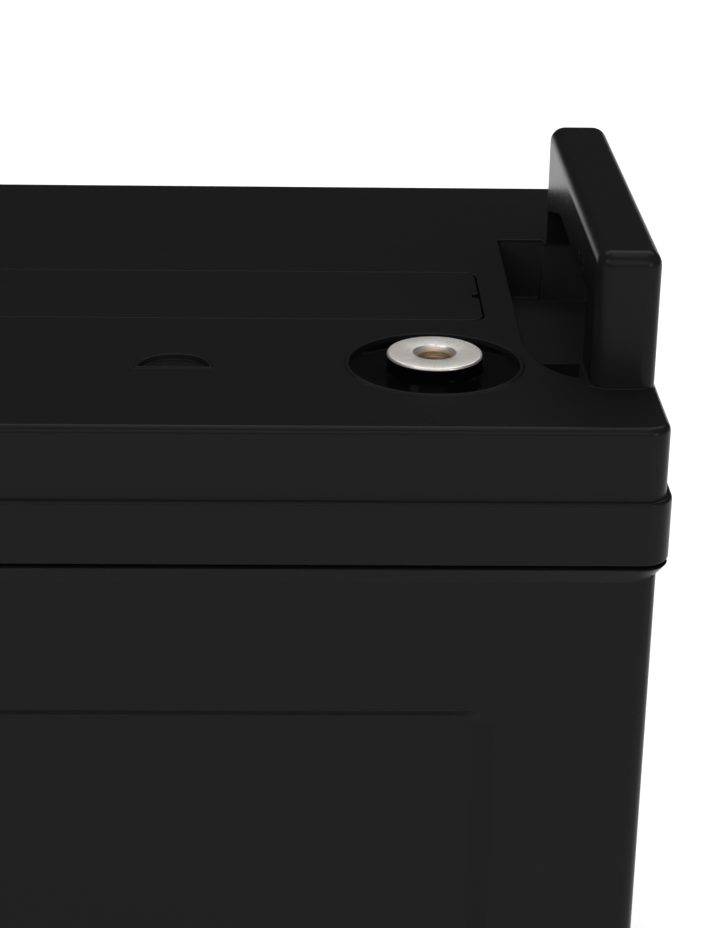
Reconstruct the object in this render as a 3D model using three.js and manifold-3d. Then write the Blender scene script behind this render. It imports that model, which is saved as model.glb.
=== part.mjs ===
// A sealed 12 V lead-acid block battery: six cells in one moulded case, a heat-sealed lid with two
// carrying grips, a flush vent cover over six relief valves, and two recessed threaded terminals.
// Millimetres. X runs along the length, Y from front to back and Z up.
// The origin is the middle of the base.
import * as THREE from "three";
import { mergeVertices } from "three/addons/utils/BufferGeometryUtils.js";
import Module from "manifold-3d";

// Whole block
const LENGTH = 330; // over the lid flange, along X
const DEPTH = 172; // over the lid flange, along Y
const HEIGHT = 214; // base to the lid's top face
const CORNER_RADIUS = 6; // upright corners
const FIT = 0.3; // gap between separate pieces that lie side by side

// Case
const CASE_INSET = 2.2; // case wall behind the lid flange
const CASE_WALL = 4;
const CASE_FLOOR = 3.5;
const CASE_BASE_EDGE = 1.2; // rounding of the bottom edge
const CELL_COUNT = 6;
const PARTITION = 2; // wall between two cells
const CAVITY_RADIUS = 1.5;
const REST_RIB_HEIGHT = 6; // ribs that carry the plates clear of the floor
const REST_RIB_WIDTH = 3;
const REST_RIB_Y = 38; // each side of the middle
const SHOULDER_HEIGHT = 4; // slope from the case wall out to the seam
const SEAM_GAP = 0.8; // open line between the shoulder and the lid flange
const TONGUE_HEIGHT = 3; // rim of the case wall that enters the lid
const TONGUE_WIDTH = 1.4;

// Recessed panels on the four sides of the case
const PANEL_DEPTH = 1.8;
const PANEL_SLOPE = 4.2; // width of the sloping border
const PANEL_RADIUS = 5;
const PANEL_TOP_DROP = 62.8; // lid top face down to the panel's upper edge
const PANEL_BOTTOM = 22; // height of the panel's lower edge
const PANEL_SIDE_MARGIN = 31.6; // case end to the edge of a front or back panel
const PANEL_END_MARGIN = 24; // case front or back to the edge of an end panel

// Lid
const FLANGE_HEIGHT = 13.7; // lower band, proud of the upper one
const BAND_HEIGHT = 15.3; // upper band, up to the top face
const BAND_INSET = 1.2;
const BAND_EDGE = 1.6; // rounding of the top edge
const FLANGE_EDGE = 0.8; // rounding of the step between the bands
const LID_TOP_THICKNESS = 3.5;
const MOULDED_WALL = 2.6; // walls under the lid's pockets and wells

// Carrying grips: a bar on two legs, with a finger pocket beside it that reaches in under the bar
const GRIP_THICKNESS = 13.3;
const GRIP_INSET = 0.6; // outer face behind the upper band's end face
const GRIP_HEIGHT = 28.8; // above the lid's top face
const GRIP_FRONT_MARGIN = 23; // block front to the grip
const GRIP_BACK_MARGIN = 47.3; // grip to the block's back
const GRIP_CORNER = 3.2; // upright edges
const GRIP_EDGE = 2.4; // top edges
const GRIP_BAR = 13.3; // height of the bar over the opening
const GRIP_FRONT_LEG = 16.2;
const GRIP_BACK_LEG = 2.6;
const GRIP_WALL = 3.2; // front leg is cored out from below
const OPENING_SLOPE_LENGTH = 28; // along Y, where the opening's roof falls to the back leg
const OPENING_SLOPE_DROP = 7.5;
const GROOVE_WIDTH = 11.5; // along X, from the grip's inner face
const GROOVE_FRONT_MARGIN = 7; // grip's front end to the groove's
const GROOVE_CURVE_LENGTH = 26; // along Y, where the rim curves in to the grip
const GROOVE_CORNER = 1.5;
const LEG_LEDGE = 0.6; // strip of lid left between the groove and a leg
const WELL_LENGTH = 48; // deep front part of the pocket, along Y
const POCKET_DROP = 14.8; // rear part
const DEEP_POCKET_DROP = 22;

// Terminals: a threaded insert on a lead post, sealed by an O-ring and potting
const TERMINAL_FRONT_MARGIN = 37.5; // block front to the terminal's middle
const WELL_TO_GROOVE = 1.85; // land between a terminal well and the finger groove
const WELL_RADIUS = 17.85;
const WELL_DROP = 9;
const WELL_FLOOR = 6.5;
const WELL_RIM_HEIGHT = 0.5; // thin raised ring round the well
const WELL_RIM_WIDTH = 0.9;
const INSERT_RADIUS = 10;
const INSERT_PROUD = 2.6; // insert face above the lid's top face
const INSERT_STEM_RADIUS = 7;
const INSERT_STEM_LENGTH = 5;
const INSERT_EDGE = 0.5;
const THREAD_BORE_RADIUS = 3.4; // M8, drawn plain
const THREAD_MOUTH_RADIUS = 4.5;
const THREAD_DEPTH = 14;
const POTTING_BELOW_TOP = 0.8; // potting surface below the lid's top face
const POTTING_FIT = 0.15;
const O_RING_SECTION_RADIUS = 1.2;
const O_RING_SEAT_DEPTH = 2.6;
const O_RING_FIT = 0.2;

// Vent channel, valves and cover
const COVER_TO_GROOVE = 7.4; // end of the cover to the finger groove
const COVER_WIDTH = 33;
const COVER_TO_WELL = 9.95; // terminal well to the cover's front edge
const COVER_THICKNESS = 2;
const COVER_RADIUS = 3;
const COVER_SKIRT_HEIGHT = 2.5;
const COVER_SKIRT_WIDTH = 1.5;
const COVER_NOTCH_RADIUS = 1.6; // gas escape at each end
const CHANNEL_LEDGE = 5; // width of the ledge that carries the cover
const CHANNEL_DROP = 14;
const CHANNEL_FLOOR = 3;
const NOZZLE_RADIUS = 5;
const NOZZLE_BORE_RADIUS = 2.5;
const NOZZLE_HEIGHT = 7.5;
const VALVE_WALL = 1.5;
const VALVE_HEIGHT = 9;
const VALVE_END_MARGIN = 9; // last valve to the channel's end

// Shallow half-round recess in the lid, one each side
const HALF_MOON_TO_TERMINAL = 54.2; // along X
const HALF_MOON_SHIFT = 3.2; // straight side in front of the terminal's middle
const HALF_MOON_RADIUS = 7.3;
const HALF_MOON_DROP = 1;

// Plate groups
const POSITIVE_THICKNESS = 3.8;
const NEGATIVE_THICKNESS = 2.8;
const SEPARATOR_THICKNESS = 0.8;
const HEAD_SPACE = 37; // seam down to the top of the plates
const SEPARATOR_RISE = 3; // separator above the plates
const GROUP_END_GAP = 0.5; // least gap between a plate group and its cell's walls
const TAB_WIDTH = 14;
const STRAP_WIDTH = 16;
const STRAP_THICKNESS = 8;
const STRAP_ABOVE_PLATES = 10;
const POST_RADIUS = 7;
const LINK_RADIUS = 3.6;

// Worked-out positions
const topZ = HEIGHT;
const stepZ = topZ - BAND_HEIGHT;
const seamZ = stepZ - FLANGE_HEIGHT;
const halfLength = LENGTH / 2;
const halfDepth = DEPTH / 2;
const wallInset = CASE_INSET + CASE_WALL;
const cavityHalfX = halfLength - wallInset;
const cavityHalfY = halfDepth - wallInset;
const cellWidth = (2 * cavityHalfX - (CELL_COUNT - 1) * PARTITION) / CELL_COUNT;
const cellPitch = cellWidth + PARTITION;
const plateBottomZ = CASE_FLOOR + REST_RIB_HEIGHT;
const plateTopZ = seamZ - HEAD_SPACE;
const strapBottomZ = plateTopZ + STRAP_ABOVE_PLATES;
const strapTopZ = strapBottomZ + STRAP_THICKNESS;
const linkZ = strapBottomZ + STRAP_THICKNESS / 2;
const terminalY = TERMINAL_FRONT_MARGIN - halfDepth;
const tabY = -terminalY; // plate tabs and straps, each side of the middle
const wellFloorZ = topZ - WELL_DROP;
const insertTopZ = topZ + INSERT_PROUD;
const stemBottomZ = wellFloorZ - INSERT_STEM_LENGTH;
const gripOuterX = halfLength - BAND_INSET - GRIP_INSET;
const gripInnerX = gripOuterX - GRIP_THICKNESS;
const gripFrontY = GRIP_FRONT_MARGIN - halfDepth;
const gripBackY = halfDepth - GRIP_BACK_MARGIN;
const openingFrontY = gripFrontY + GRIP_FRONT_LEG;
const openingBackY = gripBackY - GRIP_BACK_LEG;
const openingOuterX = halfLength - BAND_INSET - MOULDED_WALL;
const openingTopZ = topZ + GRIP_HEIGHT - GRIP_BAR;
const grooveFarX = gripInnerX - GROOVE_WIDTH;
const grooveNearX = gripInnerX - LEG_LEDGE;
const grooveFrontY = gripFrontY + GROOVE_FRONT_MARGIN;
const pocketStepY = grooveFrontY + WELL_LENGTH;
const terminalX = grooveFarX - WELL_TO_GROOVE - WELL_RADIUS;
const halfMoonX = terminalX - HALF_MOON_TO_TERMINAL;
const halfMoonY = terminalY - HALF_MOON_SHIFT;
const coverHalfX = grooveFarX - COVER_TO_GROOVE;
const coverHalfY = COVER_WIDTH / 2;
const coverY = terminalY + WELL_RADIUS + COVER_TO_WELL + coverHalfY;
const tongueInset = wallInset - (CASE_WALL + TONGUE_WIDTH) / 2;
const coverSeatZ = topZ - COVER_THICKNESS;
const channelFloorZ = topZ - CHANNEL_DROP;
const channelHalfX = coverHalfX - CHANNEL_LEDGE;
const channelHalfY = coverHalfY - CHANNEL_LEDGE;
const OVERCUT = 1; // how far a cutter runs past the face it opens
const LARGE_SEGMENTS = 40; // flats round the wells and inserts
const SMALL_SEGMENTS = 24; // flats round links, nozzles and caps
const FINE_SEGMENTS = 16; // flats round small bores
const SEAL_OVERLAP = 0.4; // how far a web or rib runs into the wall that it joins

const wasm = await Module();
wasm.setup();

// Solids from three.js geometry, and back

function solidOf(geometry) {
  const bare = geometry.clone();
  bare.deleteAttribute("normal");
  bare.deleteAttribute("uv");
  const merged = mergeVertices(bare, 1e-4);
  return new wasm.Manifold(
    new wasm.Mesh({
      numProp: 3,
      vertProperties: new Float32Array(merged.attributes.position.array),
      triVerts: new Uint32Array(merged.index.array),
    }),
  );
}

function geometryOf(solid) {
  const mesh = solid.getMesh();
  const geometry = new THREE.BufferGeometry();
  geometry.setAttribute("position", new THREE.BufferAttribute(new Float32Array(mesh.vertProperties), 3));
  geometry.setIndex(new THREE.BufferAttribute(new Uint32Array(mesh.triVerts), 1));
  const flat = geometry.toNonIndexed();
  flat.computeVertexNormals();
  return flat;
}

function box(x0, x1, y0, y1, z0, z1) {
  const geometry = new THREE.BoxGeometry(x1 - x0, y1 - y0, z1 - z0);
  geometry.translate((x0 + x1) / 2, (y0 + y1) / 2, (z0 + z1) / 2);
  return solidOf(geometry);
}

function cylinder(x, y, z0, z1, radius, segments = 32) {
  const geometry = new THREE.CylinderGeometry(radius, radius, z1 - z0, segments);
  geometry.rotateX(Math.PI / 2);
  geometry.translate(x, y, (z0 + z1) / 2);
  return solidOf(geometry);
}

// A body of revolution about an upright axis; points are [radius, z] from the axis back to the axis.
function turned(points, x, y, segments = 32) {
  const profile = points.map(([radius, z]) => new THREE.Vector2(radius, z));
  const geometry = new THREE.LatheGeometry(profile, segments);
  geometry.rotateX(Math.PI / 2);
  geometry.translate(x, y, 0);
  return solidOf(geometry);
}

function roundedOutline(x0, x1, y0, y1, radius) {
  const shape = new THREE.Shape();
  shape.moveTo(x0 + radius, y0);
  shape.lineTo(x1 - radius, y0);
  shape.absarc(x1 - radius, y0 + radius, radius, -Math.PI / 2, 0, false);
  shape.lineTo(x1, y1 - radius);
  shape.absarc(x1 - radius, y1 - radius, radius, 0, Math.PI / 2, false);
  shape.lineTo(x0 + radius, y1);
  shape.absarc(x0 + radius, y1 - radius, radius, Math.PI / 2, Math.PI, false);
  shape.lineTo(x0, y0 + radius);
  shape.absarc(x0 + radius, y0 + radius, radius, Math.PI, 1.5 * Math.PI, false);
  return shape;
}

function prism(shape, z0, z1, curveSegments = 5) {
  const geometry = new THREE.ExtrudeGeometry(shape, { depth: z1 - z0, bevelEnabled: false, curveSegments });
  geometry.translate(0, 0, z0);
  return solidOf(geometry);
}

// A prism whose edges at both ends slope or round in: width is measured across, height along Z.
function edgedPrism(shape, z0, z1, width, height, segments) {
  const geometry = new THREE.ExtrudeGeometry(shape, {
    depth: z1 - z0 - 2 * height,
    bevelEnabled: true,
    bevelSize: width,
    bevelThickness: height,
    bevelOffset: -width,
    bevelSegments: segments,
    curveSegments: 5,
  });
  geometry.translate(0, 0, z0 + height);
  return solidOf(geometry);
}

// The block's outline in plan, moved in by inset all round.
function blockOutline(inset) {
  const radius = Math.max(CORNER_RADIUS - inset, CAVITY_RADIUS);
  const halfX = halfLength - inset;
  const halfY = halfDepth - inset;
  return roundedOutline(-halfX, halfX, -halfY, halfY, radius);
}

function ring(outer, inner, z0, z1) {
  return prism(outer, z0, z1).subtract(prism(inner, z0 - OVERCUT, z1 + OVERCUT));
}

// The part of a solid between two heights.
function slab(solid, z0, z1) {
  return solid.intersect(box(-LENGTH, LENGTH, -DEPTH, DEPTH, z0, z1));
}

// A piece made on the +X side, repeated on the -X side.
function bothSides(make) {
  return make(1).add(make(-1));
}

// A box given for the +X side, or its mirror image.
function sideBox(side, x0, x1, y0, y1, z0, z1) {
  return side > 0 ? box(x0, x1, y0, y1, z0, z1) : box(-x1, -x0, y0, y1, z0, z1);
}

// Cells and plate groups

function cellStart(cell) {
  return -cavityHalfX + cell * cellPitch;
}

// The positive group of an even cell and the negative group of an odd one have their straps at the front.
function strapY(cell, positive) {
  return (cell % 2 === 0) === positive ? -tabY : tabY;
}

const plateGap = SEPARATOR_THICKNESS + 2 * FIT;
const pairPitch = POSITIVE_THICKNESS + NEGATIVE_THICKNESS + 2 * plateGap;
const groupRoom = cellWidth - 2 * GROUP_END_GAP;
const positiveCount = Math.floor((groupRoom - NEGATIVE_THICKNESS) / pairPitch);
const groupWidth = positiveCount * pairPitch + NEGATIVE_THICKNESS;
const groupEndGap = (cellWidth - groupWidth) / 2;
const plateHalfY = cavityHalfY - SEPARATOR_THICKNESS - 2 * FIT;

// X limits of every plate in a cell, from the outer negative plate to the other outer negative plate.
function platesOf(cell) {
  const plates = [];
  let x = cellStart(cell) + groupEndGap;
  for (let index = 0; index < 2 * positiveCount + 1; index += 1) {
    const positive = index % 2 === 1;
    const thickness = positive ? POSITIVE_THICKNESS : NEGATIVE_THICKNESS;
    plates.push({ positive, x0: x, x1: x + thickness });
    x += thickness + plateGap;
  }
  return plates;
}

// Plates of one polarity, joined by the strap cast on to their tabs.
function plateGroup(cell, positive) {
  const y = strapY(cell, positive);
  const strapX0 = cellStart(cell) + groupEndGap;
  const strapX1 = cellStart(cell) + cellWidth - groupEndGap;
  let group = box(strapX0, strapX1, y - STRAP_WIDTH / 2, y + STRAP_WIDTH / 2, strapBottomZ, strapTopZ);
  for (const plate of platesOf(cell).filter((each) => each.positive === positive)) {
    const tabTop = strapBottomZ + STRAP_THICKNESS / 2;
    group = group.add(box(plate.x0, plate.x1, -plateHalfY, plateHalfY, plateBottomZ, plateTopZ));
    const [tabY0, tabY1] = [y - TAB_WIDTH / 2, y + TAB_WIDTH / 2];
    group = group.add(box(plate.x0, plate.x1, tabY0, tabY1, plateTopZ - OVERCUT, tabTop));
  }
  return group;
}

// Outline of a strip that follows a path of square turns, half its thickness to each side.
function stripOutline(path, thickness) {
  const middle = new THREE.Vector2();
  const sideOf = (from, to) => to.clone().sub(from).normalize().rotateAround(middle, Math.PI / 2);
  const offsets = path.map((point, index) => {
    const offset = new THREE.Vector2();
    if (index > 0) {
      offset.add(sideOf(path[index - 1], point));
    }
    if (index < path.length - 1) {
      offset.add(sideOf(point, path[index + 1]));
    }
    return offset.multiplyScalar(thickness / 2);
  });
  const left = path.map((point, index) => point.clone().add(offsets[index]));
  const right = path.map((point, index) => point.clone().sub(offsets[index]));
  return new THREE.Shape([...right, ...left.reverse()]);
}

// One glass mat folded to and fro between the plates of a cell.
function separator(cell) {
  const plates = platesOf(cell);
  const foldY = plateHalfY + FIT + SEPARATOR_THICKNESS / 2;
  const path = [];
  for (let gap = 0; gap < plates.length - 1; gap += 1) {
    const x = plates[gap].x1 + plateGap / 2;
    const towardsBack = gap % 2 === 0 ? 1 : -1;
    path.push(new THREE.Vector2(x, -towardsBack * foldY), new THREE.Vector2(x, towardsBack * foldY));
  }
  return prism(stripOutline(path, SEPARATOR_THICKNESS), plateBottomZ, plateTopZ + SEPARATOR_RISE);
}

// The joint between one cell's negative strap and the next cell's positive strap, through the partition.
function cellLink(cell) {
  const length = PARTITION + 2 * groupEndGap;
  const geometry = new THREE.CylinderGeometry(LINK_RADIUS, LINK_RADIUS, length, SMALL_SEGMENTS);
  geometry.rotateZ(Math.PI / 2);
  const middleX = cellStart(cell) + cellWidth + PARTITION / 2;
  geometry.translate(middleX, strapY(cell, false), linkZ);
  return solidOf(geometry);
}

function linkHole(cell) {
  const radius = LINK_RADIUS + FIT;
  const geometry = new THREE.CylinderGeometry(radius, radius, PARTITION + 2 * OVERCUT, SMALL_SEGMENTS);
  geometry.rotateZ(Math.PI / 2);
  geometry.translate(cellStart(cell) + cellWidth + PARTITION / 2, strapY(cell, false), linkZ);
  return solidOf(geometry);
}

// Case

// Cutter for a recessed panel on the front: sloping borders, open towards -Y before it is turned.
function panelCutter(halfWidth, faceDistance, turn) {
  const outline = roundedOutline(-halfWidth, halfWidth, PANEL_BOTTOM, topZ - PANEL_TOP_DROP, PANEL_RADIUS);
  const geometry = new THREE.ExtrudeGeometry(outline, {
    depth: OVERCUT,
    bevelEnabled: true,
    bevelSize: PANEL_SLOPE,
    bevelThickness: PANEL_DEPTH,
    bevelOffset: -PANEL_SLOPE,
    bevelSegments: 1,
    curveSegments: 5,
  });
  geometry.rotateX(Math.PI / 2);
  geometry.translate(0, -faceDistance, 0);
  geometry.rotateZ(turn);
  return solidOf(geometry);
}

function makeCase() {
  const bodyOutline = blockOutline(CASE_INSET);
  const footZ = CASE_FLOOR + REST_RIB_HEIGHT;
  const foot = edgedPrism(bodyOutline, 0, 2 * footZ, CASE_BASE_EDGE, CASE_BASE_EDGE, 2);
  let body = slab(foot, -OVERCUT, footZ).add(prism(bodyOutline, footZ, seamZ));
  const shoulderTop = seamZ - SEAM_GAP;
  const shoulder = edgedPrism(
    blockOutline(0),
    shoulderTop - SHOULDER_HEIGHT,
    shoulderTop + 2 * SHOULDER_HEIGHT,
    CASE_INSET + SEAL_OVERLAP,
    SHOULDER_HEIGHT,
    1,
  );
  body = body.add(slab(shoulder, 0, shoulderTop));
  const tongue = ring(
    blockOutline(tongueInset),
    blockOutline(tongueInset + TONGUE_WIDTH),
    seamZ - OVERCUT,
    seamZ + TONGUE_HEIGHT,
  );
  for (let cell = 0; cell < CELL_COUNT; cell += 1) {
    const x0 = cellStart(cell);
    const outline = roundedOutline(x0, x0 + cellWidth, -cavityHalfY, cavityHalfY, CAVITY_RADIUS);
    body = body.subtract(prism(outline, CASE_FLOOR, seamZ + OVERCUT, 2));
    for (const side of [-1, 1]) {
      const y = side * REST_RIB_Y;
      const half = REST_RIB_WIDTH / 2;
      const [ribX0, ribX1] = [x0 - SEAL_OVERLAP, x0 + cellWidth + SEAL_OVERLAP];
      body = body.add(box(ribX0, ribX1, y - half, y + half, CASE_FLOOR - SEAL_OVERLAP, plateBottomZ));
    }
  }
  body = body.add(tongue);
  for (let cell = 0; cell < CELL_COUNT - 1; cell += 1) {
    body = body.subtract(linkHole(cell));
  }
  const caseHalfX = halfLength - CASE_INSET;
  const caseHalfY = halfDepth - CASE_INSET;
  for (const turn of [0, Math.PI]) {
    body = body.subtract(panelCutter(caseHalfX - PANEL_SIDE_MARGIN, caseHalfY, turn));
    body = body.subtract(panelCutter(caseHalfY - PANEL_END_MARGIN, caseHalfX, turn + Math.PI / 2));
  }
  return body;
}

// Lid

function makeGrip(side) {
  const [x0, x1] = side > 0 ? [gripInnerX, gripOuterX] : [-gripOuterX, -gripInnerX];
  const outline = roundedOutline(x0, x1, gripFrontY, gripBackY, GRIP_CORNER);
  const gripTop = topZ + GRIP_HEIGHT;
  const bottom = topZ - LID_TOP_THICKNESS;
  const whole = edgedPrism(outline, bottom - 2 * GRIP_EDGE, gripTop, GRIP_EDGE, GRIP_EDGE, 3);
  return slab(whole, bottom, gripTop + OVERCUT);
}

function legCore(side) {
  const z1 = topZ + GRIP_HEIGHT - GRIP_WALL;
  const y0 = gripFrontY + GRIP_WALL;
  const y1 = openingFrontY - GRIP_WALL;
  const z0 = seamZ + FLANGE_HEIGHT / 2;
  return sideBox(side, gripInnerX + GRIP_WALL, gripOuterX - GRIP_WALL, y0, y1, z0, z1);
}

// Plan of a finger groove: straight along the grip, its far edge curving in to the front leg.
function grooveOutline(side) {
  const shape = new THREE.Shape();
  const curveY = grooveFrontY + GROOVE_CURVE_LENGTH;
  shape.moveTo(side * grooveNearX, grooveFrontY);
  shape.lineTo(side * grooveNearX, gripBackY);
  shape.lineTo(side * (grooveFarX + GROOVE_CORNER), gripBackY);
  shape.lineTo(side * grooveFarX, gripBackY - GROOVE_CORNER);
  shape.lineTo(side * grooveFarX, curveY);
  const [from, to, clockwise] = side > 0 ? [Math.PI, 1.5 * Math.PI, false] : [0, -Math.PI / 2, true];
  const width = grooveNearX - grooveFarX;
  shape.absellipse(side * grooveNearX, curveY, width, GROOVE_CURVE_LENGTH, from, to, clockwise);
  return shape;
}

function grooveCutter(side) {
  const outline = grooveOutline(side);
  const rear = prism(outline, topZ - POCKET_DROP, topZ + OVERCUT, 8);
  const deep = prism(outline, topZ - DEEP_POCKET_DROP, topZ + OVERCUT, 8);
  const front = box(-LENGTH, LENGTH, -DEPTH, pocketStepY, 0, topZ + 2 * OVERCUT);
  return rear.add(deep.intersect(front));
}

// The pocket's reach under the bar, between the legs: a side view drawn in Y and Z, pushed along X.
function openingCutter(side) {
  const profile = new THREE.Shape();
  profile.moveTo(openingFrontY, topZ - DEEP_POCKET_DROP);
  profile.lineTo(pocketStepY, topZ - DEEP_POCKET_DROP);
  profile.lineTo(pocketStepY, topZ - POCKET_DROP);
  profile.lineTo(openingBackY, topZ - POCKET_DROP);
  profile.lineTo(openingBackY, openingTopZ - OPENING_SLOPE_DROP);
  profile.lineTo(openingBackY - OPENING_SLOPE_LENGTH, openingTopZ);
  profile.lineTo(openingFrontY, openingTopZ);
  const x0 = grooveNearX - LEG_LEDGE;
  const depth = openingOuterX - x0;
  const geometry = new THREE.ExtrudeGeometry(profile, { depth, bevelEnabled: false });
  geometry.rotateX(Math.PI / 2);
  geometry.rotateZ(Math.PI / 2);
  geometry.translate(side > 0 ? x0 : -openingOuterX, 0, 0);
  return solidOf(geometry);
}

// Walls and floor of the pocket under the lid's top.
function pocketBlock(side) {
  const x0 = grooveFarX - MOULDED_WALL;
  const x1 = openingOuterX + MOULDED_WALL / 2;
  const under = topZ - LID_TOP_THICKNESS + OVERCUT;
  const rearBottom = topZ - POCKET_DROP - MOULDED_WALL;
  const deepBottom = topZ - DEEP_POCKET_DROP - MOULDED_WALL;
  const deepBackY = pocketStepY + MOULDED_WALL;
  const rear = sideBox(side, x0, x1, pocketStepY, gripBackY + MOULDED_WALL, rearBottom, under);
  const deep = sideBox(side, x0, x1, openingFrontY - MOULDED_WALL, deepBackY, deepBottom, under);
  const frontX1 = gripInnerX + MOULDED_WALL;
  const front = sideBox(side, x0, frontX1, grooveFrontY - MOULDED_WALL, deepBackY, deepBottom, under);
  return rear.add(deep).add(front);
}

function wellBoss(side) {
  const x = side * terminalX;
  const bossTop = topZ - LID_TOP_THICKNESS + OVERCUT;
  const bossRadius = WELL_RADIUS + MOULDED_WALL;
  const boss = cylinder(x, terminalY, wellFloorZ - WELL_FLOOR, bossTop, bossRadius, LARGE_SEGMENTS);
  const rimRadius = WELL_RADIUS + WELL_RIM_WIDTH;
  const rimTop = topZ + WELL_RIM_HEIGHT;
  return boss.add(cylinder(x, terminalY, topZ - OVERCUT, rimTop, rimRadius, LARGE_SEGMENTS));
}

function wellCutter(side) {
  const x = side * terminalX;
  const seatRadius = INSERT_STEM_RADIUS + 2 * O_RING_SECTION_RADIUS + 2 * O_RING_FIT;
  const holeBottom = wellFloorZ - WELL_FLOOR - OVERCUT;
  return cylinder(x, terminalY, wellFloorZ, topZ + WELL_RIM_HEIGHT + OVERCUT, WELL_RADIUS, LARGE_SEGMENTS)
    .add(cylinder(x, terminalY, wellFloorZ - O_RING_SEAT_DEPTH, wellFloorZ + OVERCUT, seatRadius))
    .add(cylinder(x, terminalY, holeBottom, wellFloorZ + OVERCUT, INSERT_STEM_RADIUS + FIT));
}

function valveX(cell) {
  const middle = cellStart(cell) + cellWidth / 2;
  const limit = channelHalfX - VALVE_END_MARGIN;
  return Math.max(-limit, Math.min(limit, middle));
}

function halfMoonCutter(side) {
  const shape = new THREE.Shape();
  shape.moveTo(side * halfMoonX + HALF_MOON_RADIUS, halfMoonY);
  shape.absarc(side * halfMoonX, halfMoonY, HALF_MOON_RADIUS, 0, Math.PI, false);
  return prism(shape, topZ - HALF_MOON_DROP, topZ + OVERCUT, 12);
}

function makeLid() {
  const flangeTop = edgedPrism(blockOutline(0), seamZ - FLANGE_HEIGHT, stepZ, FLANGE_EDGE, FLANGE_EDGE, 2);
  const bandTop = edgedPrism(blockOutline(BAND_INSET), stepZ - BAND_HEIGHT, topZ, BAND_EDGE, BAND_EDGE, 2);
  let lid = slab(flangeTop, seamZ - OVERCUT, stepZ + OVERCUT);
  lid = lid.add(slab(bandTop, seamZ + OVERCUT, topZ + OVERCUT));
  lid = lid.add(bothSides(makeGrip));
  const under = prism(blockOutline(wallInset), seamZ - 2 * OVERCUT, topZ - LID_TOP_THICKNESS, 3);
  lid = lid.subtract(under);
  lid = lid.subtract(bothSides(legCore));
  const webTop = topZ - LID_TOP_THICKNESS + OVERCUT;
  for (let cell = 0; cell < CELL_COUNT - 1; cell += 1) {
    const x0 = cellStart(cell) + cellWidth;
    const webHalfY = cavityHalfY + SEAL_OVERLAP;
    lid = lid.add(box(x0, x0 + PARTITION, -webHalfY, webHalfY, seamZ - OVERCUT, webTop));
  }
  lid = lid.add(bothSides(pocketBlock)).add(bothSides(wellBoss));
  lid = lid.add(
    box(
      -channelHalfX - MOULDED_WALL,
      channelHalfX + MOULDED_WALL,
      coverY - channelHalfY - MOULDED_WALL,
      coverY + channelHalfY + MOULDED_WALL,
      channelFloorZ - CHANNEL_FLOOR,
      webTop,
    ),
  );
  const seatHalfX = coverHalfX + FIT;
  const seatHalfY = coverHalfY + FIT;
  const seatOutline = roundedOutline(
    -seatHalfX,
    seatHalfX,
    coverY - seatHalfY,
    coverY + seatHalfY,
    COVER_RADIUS + FIT,
  );
  const ledge = roundedOutline(
    -seatHalfX - MOULDED_WALL,
    seatHalfX + MOULDED_WALL,
    coverY - seatHalfY - MOULDED_WALL,
    coverY + seatHalfY + MOULDED_WALL,
    COVER_RADIUS,
  );
  lid = lid.add(prism(ledge, coverSeatZ - MOULDED_WALL, topZ - OVERCUT));
  lid = lid.subtract(prism(seatOutline, coverSeatZ, topZ + OVERCUT));
  lid = lid.subtract(
    box(-channelHalfX, channelHalfX, coverY - channelHalfY, coverY + channelHalfY, channelFloorZ, topZ),
  );
  lid = lid.subtract(bothSides(grooveCutter)).subtract(bothSides(openingCutter));
  lid = lid.subtract(bothSides(wellCutter));
  lid = lid.subtract(bothSides(halfMoonCutter));
  for (let cell = 0; cell < CELL_COUNT; cell += 1) {
    const x = valveX(cell);
    const nozzleTop = channelFloorZ + NOZZLE_HEIGHT;
    lid = lid.add(cylinder(x, coverY, channelFloorZ - OVERCUT, nozzleTop, NOZZLE_RADIUS, SMALL_SEGMENTS));
  }
  for (let cell = 0; cell < CELL_COUNT; cell += 1) {
    const x = valveX(cell);
    const bottom = channelFloorZ - CHANNEL_FLOOR - OVERCUT;
    const top = channelFloorZ + NOZZLE_HEIGHT + OVERCUT;
    lid = lid.subtract(cylinder(x, coverY, bottom, top, NOZZLE_BORE_RADIUS, FINE_SEGMENTS));
  }
  const tongueSlot = ring(
    blockOutline(tongueInset - FIT),
    blockOutline(tongueInset + TONGUE_WIDTH + FIT),
    seamZ - OVERCUT,
    seamZ + TONGUE_HEIGHT + FIT,
  );
  return slab(lid.subtract(tongueSlot), seamZ, topZ + GRIP_HEIGHT + OVERCUT);
}

// Vent cover and valves

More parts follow.
